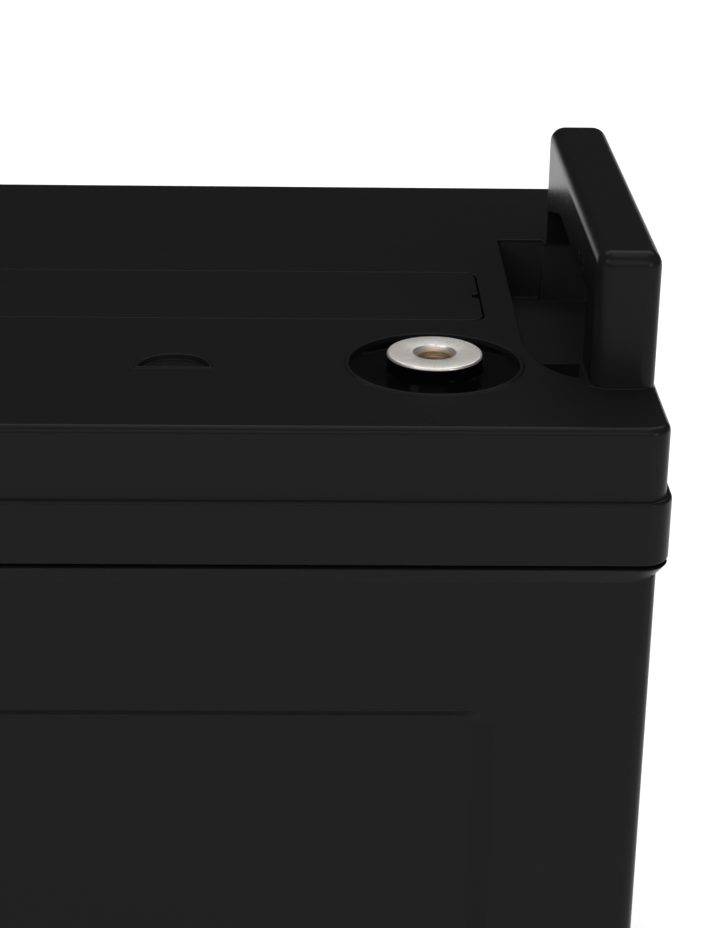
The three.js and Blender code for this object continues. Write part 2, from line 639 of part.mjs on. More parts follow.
function makeVentCover() {
  const [frontY, backY] = [coverY - coverHalfY, coverY + coverHalfY];
  const outline = roundedOutline(-coverHalfX, coverHalfX, frontY, backY, COVER_RADIUS);
  let cover = prism(outline, coverSeatZ, topZ);
  const skirtHalfX = channelHalfX - FIT;
  const skirtHalfY = channelHalfY - FIT;
  const skirtBottom = coverSeatZ - COVER_SKIRT_HEIGHT;
  const [skirtFrontY, skirtBackY] = [coverY - skirtHalfY, coverY + skirtHalfY];
  const outer = box(-skirtHalfX, skirtHalfX, skirtFrontY, skirtBackY, skirtBottom, coverSeatZ);
  const inner = box(
    -skirtHalfX + COVER_SKIRT_WIDTH,
    skirtHalfX - COVER_SKIRT_WIDTH,
    skirtFrontY + COVER_SKIRT_WIDTH,
    skirtBackY - COVER_SKIRT_WIDTH,
    skirtBottom - OVERCUT,
    coverSeatZ,
  );
  cover = cover.add(outer.subtract(inner));
  for (let cell = 0; cell < CELL_COUNT; cell += 1) {
    const padBottom = channelFloorZ + VALVE_HEIGHT + FIT;
    const padTop = coverSeatZ + OVERCUT;
    const pad = cylinder(valveX(cell), coverY, padBottom, padTop, NOZZLE_BORE_RADIUS, FINE_SEGMENTS);
    cover = cover.add(pad);
  }
  for (const side of [-1, 1]) {
    cover = cover.subtract(
      cylinder(
        side * coverHalfX,
        coverY,
        coverSeatZ - OVERCUT,
        topZ + OVERCUT,
        COVER_NOTCH_RADIUS,
        FINE_SEGMENTS,
      ),
    );
  }
  return cover;
}

// A rubber cap over a nozzle, resting on the channel floor.
function valveCap(cell) {
  const innerRadius = NOZZLE_RADIUS + FIT;
  const outerRadius = innerRadius + VALVE_WALL;
  const innerTop = channelFloorZ + NOZZLE_HEIGHT + FIT;
  const top = channelFloorZ + VALVE_HEIGHT;
  const profile = [
    [0, innerTop],
    [innerRadius, innerTop],
    [innerRadius, channelFloorZ],
    [outerRadius, channelFloorZ],
    [outerRadius, top - FIT],
    [outerRadius - FIT, top],
    [0, top],
  ];
  return turned(profile, valveX(cell), coverY, SMALL_SEGMENTS);
}

// Terminals

function terminalInsert(side) {
  const boreBottom = insertTopZ - THREAD_DEPTH;
  const chamfer = THREAD_MOUTH_RADIUS - THREAD_BORE_RADIUS;
  const profile = [
    [0, stemBottomZ],
    [INSERT_STEM_RADIUS, stemBottomZ],
    [INSERT_STEM_RADIUS, wellFloorZ],
    [INSERT_RADIUS, wellFloorZ],
    [INSERT_RADIUS, insertTopZ - INSERT_EDGE],
    [INSERT_RADIUS - INSERT_EDGE, insertTopZ],
    [THREAD_MOUTH_RADIUS, insertTopZ],
    [THREAD_BORE_RADIUS, insertTopZ - chamfer],
    [THREAD_BORE_RADIUS, boreBottom],
    [0, boreBottom],
  ];
  return turned(profile, side * terminalX, terminalY, LARGE_SEGMENTS);
}

function terminalPotting(side) {
  const surface = topZ - POTTING_BELOW_TOP;
  const innerRadius = INSERT_RADIUS + POTTING_FIT;
  const outerRadius = WELL_RADIUS - POTTING_FIT;
  const outer = cylinder(side * terminalX, terminalY, wellFloorZ, surface, outerRadius, LARGE_SEGMENTS);
  return outer.subtract(
    cylinder(
      side * terminalX,
      terminalY,
      wellFloorZ - OVERCUT,
      surface + OVERCUT,
      innerRadius,
      LARGE_SEGMENTS,
    ),
  );
}

function terminalORing(side) {
  const ringRadius = INSERT_STEM_RADIUS + O_RING_SECTION_RADIUS + O_RING_FIT;
  const geometry = new THREE.TorusGeometry(ringRadius, O_RING_SECTION_RADIUS, 8, SMALL_SEGMENTS);
  const z = wellFloorZ - O_RING_SEAT_DEPTH + O_RING_SECTION_RADIUS;
  geometry.translate(side * terminalX, terminalY, z);
  return solidOf(geometry);
}

function terminalPost(side) {
  return cylinder(side * terminalX, terminalY, strapTopZ, stemBottomZ, POST_RADIUS);
}

// Materials: colour, roughness, metalness
const paint = (color, roughness, metalness = 0) => () =>
  new THREE.MeshStandardMaterial({ color, roughness, metalness, flatShading: true });
const blackPlastic = paint(0x1c1c1d, 0.45);
const blackPotting = paint(0x070708, 0.12);
const redPotting = paint(0x8a1410, 0.2);
const tinnedBrass = paint(0xbdb9b0, 0.3, 1);
const lead = paint(0x6d7176, 0.6, 0.9);
const positivePaste = paint(0x4a2c20, 0.9);
const negativePaste = paint(0x73777b, 0.85);
const glassMat = paint(0xe9e8e2, 0.95);
const blackRubber = paint(0x141414, 0.8);

const battery = new THREE.Group();
battery.name = "battery_pack";

function place(name, solid, material) {
  const mesh = new THREE.Mesh(geometryOf(solid), material());
  mesh.name = name;
  battery.add(mesh);
}

place("case", makeCase(), blackPlastic);
place("lid", makeLid(), blackPlastic);
place("vent_cover", makeVentCover(), blackPlastic);
for (let cell = 0; cell < CELL_COUNT; cell += 1) {
  const number = cell + 1;
  place(`positive_plates_${number}`, plateGroup(cell, true), positivePaste);
  place(`negative_plates_${number}`, plateGroup(cell, false), negativePaste);
  place(`separator_${number}`, separator(cell), glassMat);
  place(`valve_cap_${number}`, valveCap(cell), blackRubber);
  if (number < CELL_COUNT) {
    place(`cell_link_${number}`, cellLink(cell), lead);
  }
}
for (const [pole, side, potting] of [
  ["positive", -1, redPotting],
  ["negative", 1, blackPotting],
]) {
  place(`terminal_insert_${pole}`, terminalInsert(side), tinnedBrass);
  place(`terminal_potting_${pole}`, terminalPotting(side), potting);
  place(`terminal_o_ring_${pole}`, terminalORing(side), blackRubber);
  place(`terminal_post_${pole}`, terminalPost(side), lead);
}

export default battery;
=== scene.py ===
"""Looks for a sealed block battery: case, lid, vent cover, terminals, floor, lights and camera."""

import math

import bmesh
import bpy
from bpy.props import FloatProperty, FloatVectorProperty, PointerProperty
from bpy.types import Operator, Panel, PropertyGroup
from mathutils import Matrix, Vector


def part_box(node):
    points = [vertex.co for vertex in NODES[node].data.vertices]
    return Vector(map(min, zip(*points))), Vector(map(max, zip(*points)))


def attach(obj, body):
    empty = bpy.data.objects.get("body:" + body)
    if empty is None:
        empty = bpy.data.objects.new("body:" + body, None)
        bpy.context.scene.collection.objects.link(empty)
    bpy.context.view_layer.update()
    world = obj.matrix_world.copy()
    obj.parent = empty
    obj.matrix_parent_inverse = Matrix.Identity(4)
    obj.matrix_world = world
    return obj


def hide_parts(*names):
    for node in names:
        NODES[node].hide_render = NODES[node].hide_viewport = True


bl_info = {
    "name": "Block battery looks",
    "version": (1, 0, 0),
    "blender": (4, 5, 0),
    "location": "3D View > Sidebar > Battery",
    "description": "Builds the mouldings, terminals, materials and stage of a sealed block battery",
    "category": "Object",
}

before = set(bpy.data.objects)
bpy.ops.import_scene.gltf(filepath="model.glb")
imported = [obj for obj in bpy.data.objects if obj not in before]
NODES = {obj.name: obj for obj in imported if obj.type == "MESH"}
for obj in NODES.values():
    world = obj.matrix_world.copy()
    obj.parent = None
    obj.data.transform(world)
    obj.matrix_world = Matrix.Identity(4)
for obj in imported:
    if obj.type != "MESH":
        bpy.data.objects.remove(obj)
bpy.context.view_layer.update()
MM = 0.001
NEAR = 1e-6  # two heights or places closer than this count as the same
CELLS = 6
OVERCUT = 2 * MM  # how far a cutter passes the face that it opens
OVERLAP = MM  # how far a joined shape goes into the body
LEVEL_BORDER_SHARE = 0.6  # a panel's level borders are narrower than its upright ones
CURVE_SHARE = 0.985  # how much of the groove's width its curved rim takes
POLES = {"negative": 1, "positive": -1}


def middle(node):
    low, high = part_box(node)
    return (low + high) / 2


# ---------------------------------------------------------------- sizes and colours


def length(name, description, millimetres):
    return FloatProperty(name=name, description=description, default=millimetres * MM, unit="LENGTH")


def tint(name, description, colour):
    return FloatVectorProperty(name=name, description=description, default=colour, subtype="COLOR")


class CaseSizes(PropertyGroup):
    """Sizes of the case below the seam."""

    inset: length("Wall inset", "Case wall behind the lid flange", 2.2)
    wall: length("Wall", "Thickness of the case wall", 4)
    floor: length("Floor", "Thickness of the base", 3.5)
    partition: length("Partition", "Wall between two cells", 2)
    corner: length("Corner radius", "Upright corners of the block", 6)
    base_edge: length("Base edge", "Rounding of the bottom edge", 1.2)
    shoulder: length("Shoulder", "Height of the slope under the seam", 4)
    seam_gap: length("Seam gap", "Open line between shoulder and lid", 0.8)
    panel_depth: length("Panel depth", "Depth of the recessed panels", 2.4)
    panel_slope: length("Panel slope", "Width of a panel's sloping border", 4.2)
    panel_drop: length("Panel drop", "Lid top face down to the panels", 62.8)
    panel_bottom: length("Panel bottom", "Height of the panels' lower edge", 22)
    side_margin: length("Side margin", "Case end to a front or back panel", 31.6)
    end_margin: length("End margin", "Case front or back to an end panel", 24)
    panel_corner: length("Panel corner", "Corners of a panel", 5)
    shoulder_set: length("Shoulder set", "Foot of the slope behind the wall's face", 0.2)
    cell_corner: length("Cell corner", "Upright corners of a cell", 1.5)
    lip_inset: length("Lip inset", "Joint lip behind the wall's face", 1.3)
    lip_height: length("Lip height", "Joint lip above the seam", 3)
    edge: length("Edge rounding", "Rounding of the small edges", 0.35)


class LidSizes(PropertyGroup):
    """Sizes of the lid, its grips, grooves and wells."""

    top: length("Top", "Height of the top face", 214)
    band: length("Upper band", "Height of the upper band", 15.3)
    flange: length("Flange", "Height of the lower band", 13.7)
    band_inset: length("Band inset", "Upper band behind the lower one", 1.2)
    band_edge: length("Band edge", "Rounding of the top edge", 1.6)
    flange_edge: length("Flange edge", "Rounding of the step", 0.8)
    thickness: length("Thickness", "Thickness of the top wall", 3.5)
    moulded_wall: length("Pocket wall", "Walls under pockets and wells", 2.6)
    edge: length("Edge rounding", "Rounding of the small edges", 0.28)
    grip_thickness: length("Grip thickness", "Thickness of a grip", 13.3)
    grip_inset: length("Grip inset", "Grip behind the band's end", 0.6)
    grip_front: length("Grip front", "Front end in Y", -63)
    grip_back: length("Grip back", "Back end in Y", 38.7)
    grip_corner: length("Grip corner", "Rounding of upright edges", 3.6)
    grip_edge: length("Grip edge", "Rounding of the top edges", 3.2)
    grip_wall: length("Leg wall", "Wall left by the front leg's core", 3.2)
    grip_bar: length("Bar height", "Height of the bar over its opening", 13.3)
    front_leg: length("Front leg", "Length of the front leg in Y", 16.2)
    back_leg: length("Back leg", "Length of the back leg in Y", 2.6)
    roof_slope: length("Roof slope", "Sloping part of the opening's roof", 28)
    roof_drop: length("Roof drop", "Fall of that slope", 7.5)
    leg_ledge: length("Leg ledge", "Strip between groove and leg", 0.6)
    groove_width: length("Groove width", "Finger groove along X", 11.5)
    groove_front: length("Groove front", "Front of the groove in Y", -56)
    groove_curve: length("Groove curve", "Length of the curved rim", 26)
    groove_step: length("Groove step", "Ledge to front well in Y", -8)
    ledge_drop: length("Ledge drop", "Depth of the rear ledge", 14.8)
    groove_drop: length("Groove drop", "Depth of the front well", 22)
    well_radius: length("Well radius", "Terminal well", 17.85)
    rim_width: length("Rim width", "Raised ring round the well", 0.9)
    rim_height: length("Rim height", "Height of that ring", 0.3)
    moon_x: length("Recess X", "Half-round recess from the middle", 64.5)
    moon_y: length("Recess Y", "Its straight side", -51.7)
    moon_radius: length("Recess radius", "Half-round recess", 7.3)
    moon_drop: length("Recess depth", "Its depth", 1)
    moon_lip: length("Recess lip", "Width of its raised lip", 0.8)
    lip_height: length("Lip height", "Height of that lip", 0.35)
    seat_gap: length("Cover gap", "Gap round the vent cover", 0.3)
    channel_ledge: length("Channel ledge", "Ledge that carries the cover", 5)
    channel_drop: length("Channel drop", "Depth of the vent channel", 14)
    flange_base: length("Flange base", "Rounding of the flange's lower edge", 0.5)
    pocket_corner: length("Pocket corner", "Upright corner at the back of the pocket", 1.2)
    reach_corner: length("Reach corner", "The same corner under the bar", 1.6)
    boss_depth: length("Boss depth", "Terminal boss below the potting", 6.5)
    post_hole: length("Post hole", "Radius of the hole for the post", 7.3)
    post_depth: length("Post hole depth", "Depth of that hole below the potting", 8)
    cover_corner: length("Cover corner", "Corners of the vent cover", 3)
    cover_plate: length("Cover plate", "Thickness of the cover's plate", 2)
    cover_edge: length("Cover edge", "Rounding of the cover's upper edge", 0.3)
    cover_softening: length("Cover softening", "Rounding of its other edges", 0.2)
    cover_wall: length("Cover wall", "Wall of the cover's rim underneath", 1.5)
    notch: length("Gas notch", "Radius of the notch at each end of the cover", 1.6)
    tray_floor: length("Tray floor", "Floor under the vent channel", 3)


class TerminalSizes(PropertyGroup):
    """Sizes of a threaded terminal insert."""

    edge: length("Edge", "Rounding of the ring's outer edge", 0.5)
    mouth: length("Mouth radius", "Chamfered mouth of the thread", 4.5)
    minor: length("Minor radius", "Crest of the inner thread", 3.4)
    pitch: length("Pitch", "Thread pitch", 1.25)
    depth: length("Depth", "Depth of the hole", 14)
    stem: length("Stem radius", "Lower stem", 7)
    meniscus: length("Meniscus", "Rise of the potting at its edges", 0.3)
    meniscus_reach: length("Meniscus reach", "How far that rise spreads", 0.7)
    mouth_edge: length("Mouth edge", "Rounding of the hole's rim", 0.15)
    thread_depth: length("Thread depth", "Crest to root", 0.55)
    clearance: length("Clearance", "Insert to potting", 0.1)


class StageSizes(PropertyGroup):
    """Camera, lights and floor."""

    camera_place: FloatVectorProperty(
        name="Camera",
        description="Where the camera stands",
        default=(0.0915, -0.5014, 0.3821),
        subtype="XYZ",
    )
    camera_turn: FloatVectorProperty(
        name="Camera turn",
        description="Yaw, downward pitch and roll",
        default=(math.radians(1.52), math.radians(22.85), math.radians(0.9)),
        subtype="EULER",
    )
    lens: FloatProperty(name="Lens", description="Focal length in millimetres", default=89.8)
    floor_size: length("Floor", "Half width of the floor", 4000)
    room_light: FloatProperty(name="Room light", description="Even light from the room", default=0.82)
    room_gloss: FloatProperty(name="Room gloss", description="The room as gloss shows it", default=0.035)


class Colours(PropertyGroup):
    """Base colours of the finishes."""

    plastic: tint("Moulded plastic", "Case and lid", (0.0056, 0.0056, 0.0060))
    potting: tint("Black potting", "Negative well", (0.0008, 0.0008, 0.0009))
    red_potting: tint("Red potting", "Positive well", (0.32, 0.010, 0.007))
    tin: tint("Tinned brass", "Terminal inserts", (0.80, 0.775, 0.73))
    lead: tint("Lead", "Posts and links", (0.20, 0.21, 0.22))
    positive: tint("Positive paste", "Positive plates", (0.07, 0.028, 0.016))
    negative: tint("Negative paste", "Negative plates", (0.17, 0.18, 0.19))
    glass: tint("Glass mat", "Separators", (0.80, 0.79, 0.75))
    rubber: tint("Rubber", "Valve caps and O-rings", (0.010, 0.010, 0.010))


# ---------------------------------------------------------------- shader maths


class Wire:
    """A shader socket on which ordinary arithmetic adds Math nodes."""

    def __init__(self, shader, socket):
        self.shader = shader
        self.socket = socket

    def _math(self, operation, other=None):
        values = {0: self}
        if other is not None:
            values[1] = other
        return self.shader.node("ShaderNodeMath", {"operation": operation}, values)

    def _swapped(self, operation, other):
        return self.shader.node("ShaderNodeMath", {"operation": operation}, {0: other, 1: self})

    def __add__(self, other):
        return self._math("ADD", other)

    def __radd__(self, other):
        return self._math("ADD", other)

    def __sub__(self, other):
        return self._math("SUBTRACT", other)

    def __rsub__(self, other):
        return self._swapped("SUBTRACT", other)

    def __mul__(self, other):
        return self._math("MULTIPLY", other)

    def __rmul__(self, other):
        return self._math("MULTIPLY", other)

    def __pow__(self, other):
        return self._math("POWER", other)

    def size(self):
        return self._math("ABSOLUTE")

    def sine(self):
        return self._math("SINE")


class Shader:
    """A material whose nodes are added by one method."""

    def __init__(self, name):
        self.material = bpy.data.materials.new(name)
        self.material.use_nodes = True
        self.tree = self.material.node_tree
        self.surface = self.tree.nodes["Principled BSDF"]
        self.place = self.node("ShaderNodeTexCoord", {}, {}, "Object")

    def link(self, value, socket):
        if isinstance(value, Wire):
            self.tree.links.new(value.socket, socket)
        else:
            socket.default_value = value

    def node(self, kind, settings, values, output=0):
        made = self.tree.nodes.new(kind)
        for name, setting in settings.items():
            setattr(made, name, setting)
        for name, value in values.items():
            self.link(value, made.inputs[name])
        return Wire(self, made.outputs[output])

    def noise(self, scale, detail=2.0, roughness=0.5, vector=None):
        values = {"Scale": scale, "Detail": detail, "Roughness": roughness}
        values["Vector"] = vector or self.place
        return self.node("ShaderNodeTexNoise", {}, values)

    def mapped(self, scale=(1, 1, 1), rotation=(0, 0, 0), location=(0, 0, 0)):
        values = {"Vector": self.place, "Scale": scale, "Rotation": rotation, "Location": location}
        return self.node("ShaderNodeMapping", {}, values)

    def parts(self, vector):
        """The three components of a vector."""
        split = self.node("ShaderNodeSeparateXYZ", {}, {0: vector}).socket.node
        return [Wire(self, socket) for socket in split.outputs]

    def ramp(self, factor, low, high):
        """0 below low, 1 above high, smooth between."""
        settings = {"interpolation_type": "SMOOTHSTEP"}
        values = {"Value": factor, "From Min": low, "From Max": high, "To Min": 0.0, "To Max": 1.0}
        return self.node("ShaderNodeMapRange", settings, values)

    def mix(self, factor, first, second):
        values = {0: factor, 6: first, 7: second}
        return self.node("ShaderNodeMix", {"data_type": "RGBA"}, values, 2)

    def bump(self, height, distance, strength=1.0, normal=None):
        values = {"Height": height, "Distance": distance, "Strength": strength}
        if normal is not None:
            values["Normal"] = normal
        return self.node("ShaderNodeBump", {}, values)

    def set(self, **values):
        names = {
            "colour": "Base Color",
            "roughness": "Roughness",
            "metallic": "Metallic",
            "normal": "Normal",
            "specular": "Specular IOR Level",
        }
        for name, value in values.items():
            self.link(value, self.surface.inputs[names[name]])


def rgba(colour, gain=1.0):
    return (colour[0] * gain, colour[1] * gain, colour[2] * gain, 1.0)


# ---------------------------------------------------------------- finishes


def moulded_plastic(name, colour, pocket=None):
    """Semi-gloss moulded plastic: fine grain, a soft unevenness, a little dust and short rubbed marks.

    A pocket (near and far in X, front in Y, top in Z) is painted paler, at both ends: painted light
    standing in for the light its walls and floor do not get."""
    shader = Shader(name)
    grain = shader.noise(2600, 3, 0.6)
    swell = shader.noise(22, 3)
    cloud = shader.noise(7, 4, 0.55)
    dust = shader.ramp(shader.noise(900, 2, 0.7), 0.70, 0.78) * shader.ramp(cloud, 0.45, 0.65)
    streaks = shader.noise(60, 6, 0.7, shader.mapped(scale=(1.0, 9.0, 9.0), rotation=(0.1, 0.3, 0.5)))
    rubbed = shader.ramp(streaks, 0.64, 0.74) * shader.ramp(shader.noise(11, 2), 0.5, 0.7)
    wear_and_painted_light = shader.mix(cloud * 0.5, rgba(colour), rgba(colour, 1.35))
    wear_and_painted_light = shader.mix(rubbed * 0.35, wear_and_painted_light, rgba(colour, 2.2))
    wear_and_painted_light = shader.mix(dust * 0.4, wear_and_painted_light, (0.04, 0.039, 0.037, 1))
    # painted light: inside the given pocket the colour is lifted almost threefold, standing in for light
    # the pocket's walls and floor do not get
    if pocket:
        near, far, front, top = pocket
        across, along, height = shader.parts(shader.place)
        reach = across.size()
        inside = shader.ramp(reach, near - 0.3 * MM, near + 0.2 * MM)
        inside = inside * shader.ramp(reach, far + 0.6 * MM, far)
        inside = inside * shader.ramp(along, front - 0.3 * MM, front)
        inside = inside * shader.ramp(height, top, top - 1.2 * MM)
        # painted light mixed into the pocket's walls and floor
        wear_and_painted_light = shader.mix(inside * (0.6 + swell * 0.6), wear_and_painted_light, rgba(colour, 2.9))
    roughness = 0.24 + cloud * 0.08 + rubbed * 0.10 + dust * 0.2
    normal = shader.bump(grain, 0.00002, 0.5, shader.bump(swell, 0.0004, 0.15))
    shader.set(colour=wear_and_painted_light, roughness=roughness, normal=normal, specular=0.06)
    return shader.material


def poured_potting(name, colour):
    """Gloss resin with a faintly wavy surface and a few pin-hole bubbles."""
    shader = Shader(name)
    wave = shader.noise(120, 2)
    bubbles = shader.ramp(
        shader.node("ShaderNodeTexVoronoi", {}, {"Vector": shader.place, "Scale": 900.0}), 0.10, 0.04
    )
    few = bubbles * shader.ramp(shader.noise(260, 1), 0.60, 0.64)
    body = shader.mix(shader.noise(60, 3), rgba(colour), rgba(colour, 1.5))
    normal = shader.bump(wave, 0.0003, 0.2, shader.bump(1.0 - few, 0.0001, 0.5))
    shader.set(colour=body, roughness=0.08 + few * 0.3, normal=normal, specular=0.08)
    return shader.material


def tinned_brass(name, colour, centre):
    """Tin plate with turned rings, a brassy tint inside the hole, and its side below the top edge black,
    glossy and not metal.
    """
    shader = Shader(name)
    across, along, height = shader.parts(shader.mapped(location=(-centre[0], -centre[1], 0)))
    radius = (across * across + along * along) ** 0.5
    rings = (radius * 14000.0 + shader.noise(300, 2) * 3.0).sine()
    patches = shader.noise(240, 5, 0.65)
    specks = shader.ramp(shader.noise(1400, 2), 0.66, 0.72)
    top = centre[2]
    terminal = sizes()[2]
    inside = shader.ramp(radius, terminal.mouth + 0.1 * MM, terminal.minor + 0.2 * MM)
    inside = inside * shader.ramp(height, top, top - 1.2 * MM)
    metal = shader.mix(shader.ramp(patches, 0.35, 0.7) * 0.55, rgba(colour), rgba(colour, 0.72))
    metal = shader.mix(specks * 0.5, metal, (0.20, 0.185, 0.16, 1))
    metal = shader.mix(inside * 0.75, metal, (0.42, 0.27, 0.12, 1))
    # the side below the top edge takes the black potting colour, with no metal and less roughness
    black_side = shader.ramp(height, top - 0.3 * MM, top - 0.6 * MM) * shader.ramp(radius, 6 * MM, 7 * MM)
    metal = shader.mix(black_side, metal, rgba(colours().potting))
    roughness = 0.44 + shader.ramp(patches, 0.4, 0.7) * 0.12 + specks * 0.15
    normal = shader.bump(rings * 0.5 + patches * 0.8, 0.00002, 0.7)
    shader.set(colour=metal, roughness=roughness - black_side * 0.34, metallic=1.0 - black_side, normal=normal)
    shader.set(specular=0.12)
    return shader.material


def cast_lead(name, colour):
    """Dull cast lead with cooling ripples and darker oxide."""
    shader = Shader(name)
    oxide = shader.noise(90, 5, 0.6)
    tone = shader.mix(oxide, rgba(colour, 0.55), rgba(colour, 1.2))
    normal = shader.bump(oxide + shader.noise(700, 2) * 0.4, 0.0002, 0.5)
    shader.set(colour=tone, roughness=0.45 + oxide * 0.25, metallic=0.9, normal=normal)
    return shader.material


def porous_paste(name, colour):
    """Dried active paste: matt, pitted and uneven in tone."""
    shader = Shader(name)
    pits = shader.node("ShaderNodeTexVoronoi", {}, {"Vector": shader.place, "Scale": 700.0})
    tone = shader.mix(shader.noise(45, 5, 0.6), rgba(colour, 0.7), rgba(colour, 1.35))
    normal = shader.bump(pits + shader.noise(1500, 2), 0.0002, 0.6)
    shader.set(colour=tone, roughness=0.85 + pits * 0.1, normal=normal, specular=0.2)
    return shader.material


def fibrous_mat(name, colour):
    """Pressed glass fibre: fine crossing fibres and soft lumps."""
    shader = Shader(name)
    first = shader.noise(500, 4, 0.6, shader.mapped(scale=(1, 1, 12), rotation=(0.5, 0, 0)))
    second = shader.noise(500, 4, 0.6, shader.mapped(scale=(1, 12, 1), rotation=(0.4, 0, 0.2)))
    lumps = shader.noise(60, 3)
    tone = shader.mix(first * 0.6 + lumps * 0.4, rgba(colour, 0.82), rgba(colour, 1.05))
    normal = shader.bump(first + second + lumps, 0.0003, 0.7)
    shader.set(colour=tone, roughness=0.95 - lumps * 0.05, normal=normal, specular=0.1)
    return shader.material


def soft_rubber(name, colour):
    """Matt rubber with a fine moulded texture and a pale bloom."""
    shader = Shader(name)
    bloom = shader.ramp(shader.noise(150, 4, 0.6), 0.45, 0.75)
    tone = shader.mix(bloom * 0.5, rgba(colour), (0.035, 0.034, 0.033, 1))
    normal = shader.bump(shader.noise(2500, 2), 0.00004, 0.5)
    shader.set(colour=tone, roughness=0.6 + bloom * 0.2, normal=normal)
    return shader.material


def pale_floor(name):
    shader = Shader(name)
    tone = shader.mix(shader.noise(3, 3), (0.88, 0.88, 0.88, 1), (0.90, 0.90, 0.90, 1))
    shader.set(colour=tone, roughness=0.7, normal=shader.bump(shader.noise(400, 2), 0.0002, 0.2))
    return shader.material


# ---------------------------------------------------------------- modelling helpers


def upright_edges(bm):
    return [e for e in bm.edges if abs(e.verts[0].co.z - e.verts[1].co.z) > NEAR]


def corner_edges(bm, x, y):
    """The upright edges at one place in the plan."""
    place = Vector((x, y))
    return [e for e in upright_edges(bm) if all((v.co.xy - place).length < NEAR for v in e.verts)]


def level_edges(bm, z):
    return [e for e in bm.edges if all(abs(v.co.z - z) < NEAR for v in e.verts)]


def round_off(bm, edges, radius, segments):
    """Rounds the given edges to a circular section."""
    bmesh.ops.bevel(
        bm,
        geom=edges,
        offset=radius,
        offset_type="OFFSET",
        segments=segments,
        profile=0.5,
        affect="EDGES",
        material=-1,
        clamp_overlap=True,
    )


def box_place(low, high):
    """Where a unit cube goes to fill the box."""
    low, high = Vector(low), Vector(high)
    return Matrix.Translation((low + high) / 2) @ Matrix.Diagonal((*(high - low), 1.0))


def block(low, high, corner=0.0, top=0.0, bottom=0.0, corner_segments=8, edge_segments=4):
    """A box with rounded upright corners, then rounded top or bottom edges."""
    bm = bmesh.new()
    low, high = Vector(low), Vector(high)
    bmesh.ops.create_cube(bm, size=1.0, matrix=box_place(low, high))
    if corner:
        round_off(bm, upright_edges(bm), corner, corner_segments)
    if top:
        round_off(bm, level_edges(bm, high.z), top, edge_segments)
    if bottom:
        round_off(bm, level_edges(bm, low.z), bottom, edge_segments)
    return bm


def drum(centre, radius, low, high, segments=96):
    """An upright cylinder."""
    bm = bmesh.new()
    place = Matrix.Translation((centre[0], centre[1], (low + high) / 2))
    bmesh.ops.create_cone(
        bm,
        cap_ends=True,
        segments=segments,
        radius1=radius,
        radius2=radius,
        depth=high - low,
        matrix=place,
    )
    return bm


def mirrored(bm):
    """The same shape on both ends of the block."""
    copy = bmesh.ops.duplicate(bm, geom=bm.verts[:] + bm.edges[:] + bm.faces[:])["geom"]
    verts = [v for v in copy if isinstance(v, bmesh.types.BMVert)]
    faces = [f for f in copy if isinstance(f, bmesh.types.BMFace)]
    bmesh.ops.scale(bm, vec=(-1, 1, 1), verts=verts)
    bmesh.ops.reverse_faces(bm, faces=faces)
    return bm


def piece(name, bm):
    """A mesh object at the origin from a finished bmesh."""
    mesh = bpy.data.meshes.new(name)
    bm.to_mesh(mesh)
    bm.free()
    made = bpy.data.objects.new(name, mesh)
    bpy.context.scene.collection.objects.link(made)
    return made


def settle(made):
    """Makes the modifiers' result the object's own mesh."""
    graph = bpy.context.evaluated_depsgraph_get()
    graph.update()
    result = bpy.data.meshes.new_from_object(made.evaluated_get(graph))
    old = made.data
    made.modifiers.clear()
    made.data = result
    bpy.data.meshes.remove(old)


def combine(body, bm, operation):
    """Joins a shape to a body, or cuts it away."""
    tool = piece("tool", bm)
    step = body.modifiers.new("combine", "BOOLEAN")
    step.operation = operation
    step.solver = "EXACT"
    step.object = tool
    settle(body)
    mesh = tool.data
    bpy.data.objects.remove(tool)
    bpy.data.meshes.remove(mesh)


def add(body, bm):
    combine(body, bm, "UNION")


def cut(body, bm):
    combine(body, bm, "DIFFERENCE")


def tidy_mesh(made, flat_angle=0.2):
    """Merges stray points and lets flat areas be single faces."""
    bm = bmesh.new()
    bm.from_mesh(made.data)
    bmesh.ops.remove_doubles(bm, verts=bm.verts, dist=2e-6)
    bmesh.ops.dissolve_limit(
        bm, angle_limit=math.radians(flat_angle), verts=bm.verts, edges=bm.edges, delimit={"NORMAL"}
    )
    bmesh.ops.recalc_face_normals(bm, faces=bm.faces)
    bm.to_mesh(made.data)
    bm.free()


def soften(made, width, segments=3, angle=40):
    """Rounds every sharp edge and shades the flats flat."""
    made.data.shade_smooth()
    bevel = made.modifiers.new("soft_edges", "BEVEL")
    bevel.width = width
    bevel.segments = segments
    bevel.limit_method = "ANGLE"
    bevel.angle_limit = math.radians(angle)
    bevel.use_clamp_overlap = False
    bevel.miter_outer = "MITER_ARC"
    bevel.harden_normals = False
    weigh = made.modifiers.new("flat_shading", "WEIGHTED_NORMAL")
    weigh.keep_sharp = True
    weigh.weight = 80
    settle(made)


def finish_piece(made, material, node):
    made.data.materials.clear()
    made.data.materials.append(material)
    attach(made, "root")
    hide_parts(node)
    return made


def sizes():
    scene = bpy.context.scene
    return scene.battery_case, scene.battery_lid, scene.battery_terminal


def colours():
    return bpy.context.scene.battery_colours


# ---------------------------------------------------------------- shapes shared by the pieces


def block_half(inset=0.0):
    """Half sizes of the block, moved in by inset."""
    low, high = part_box("lid")
    return (high.x - low.x) / 2 - inset, (high.y - low.y) / 2 - inset


def block_prism(inset, low, high, corner, **rounding):
    half_x, half_y = block_half(inset)
    return block((-half_x, -half_y, low), (half_x, half_y, high), corner, **rounding)


def cell_limits():
    """X limits of each cell."""
    case, _, _ = sizes()
    half_x, _ = block_half(case.inset + case.wall)
    width = (2 * half_x - (CELLS - 1) * case.partition) / CELLS
    starts = [-half_x + n * (width + case.partition) for n in range(CELLS)]
    return [(start, start + width) for start in starts]


def grip_limits():
    _, lid, _ = sizes()
    outer = block_half(lid.band_inset)[0] - lid.grip_inset
    return outer - lid.grip_thickness, outer


# ---------------------------------------------------------------- case


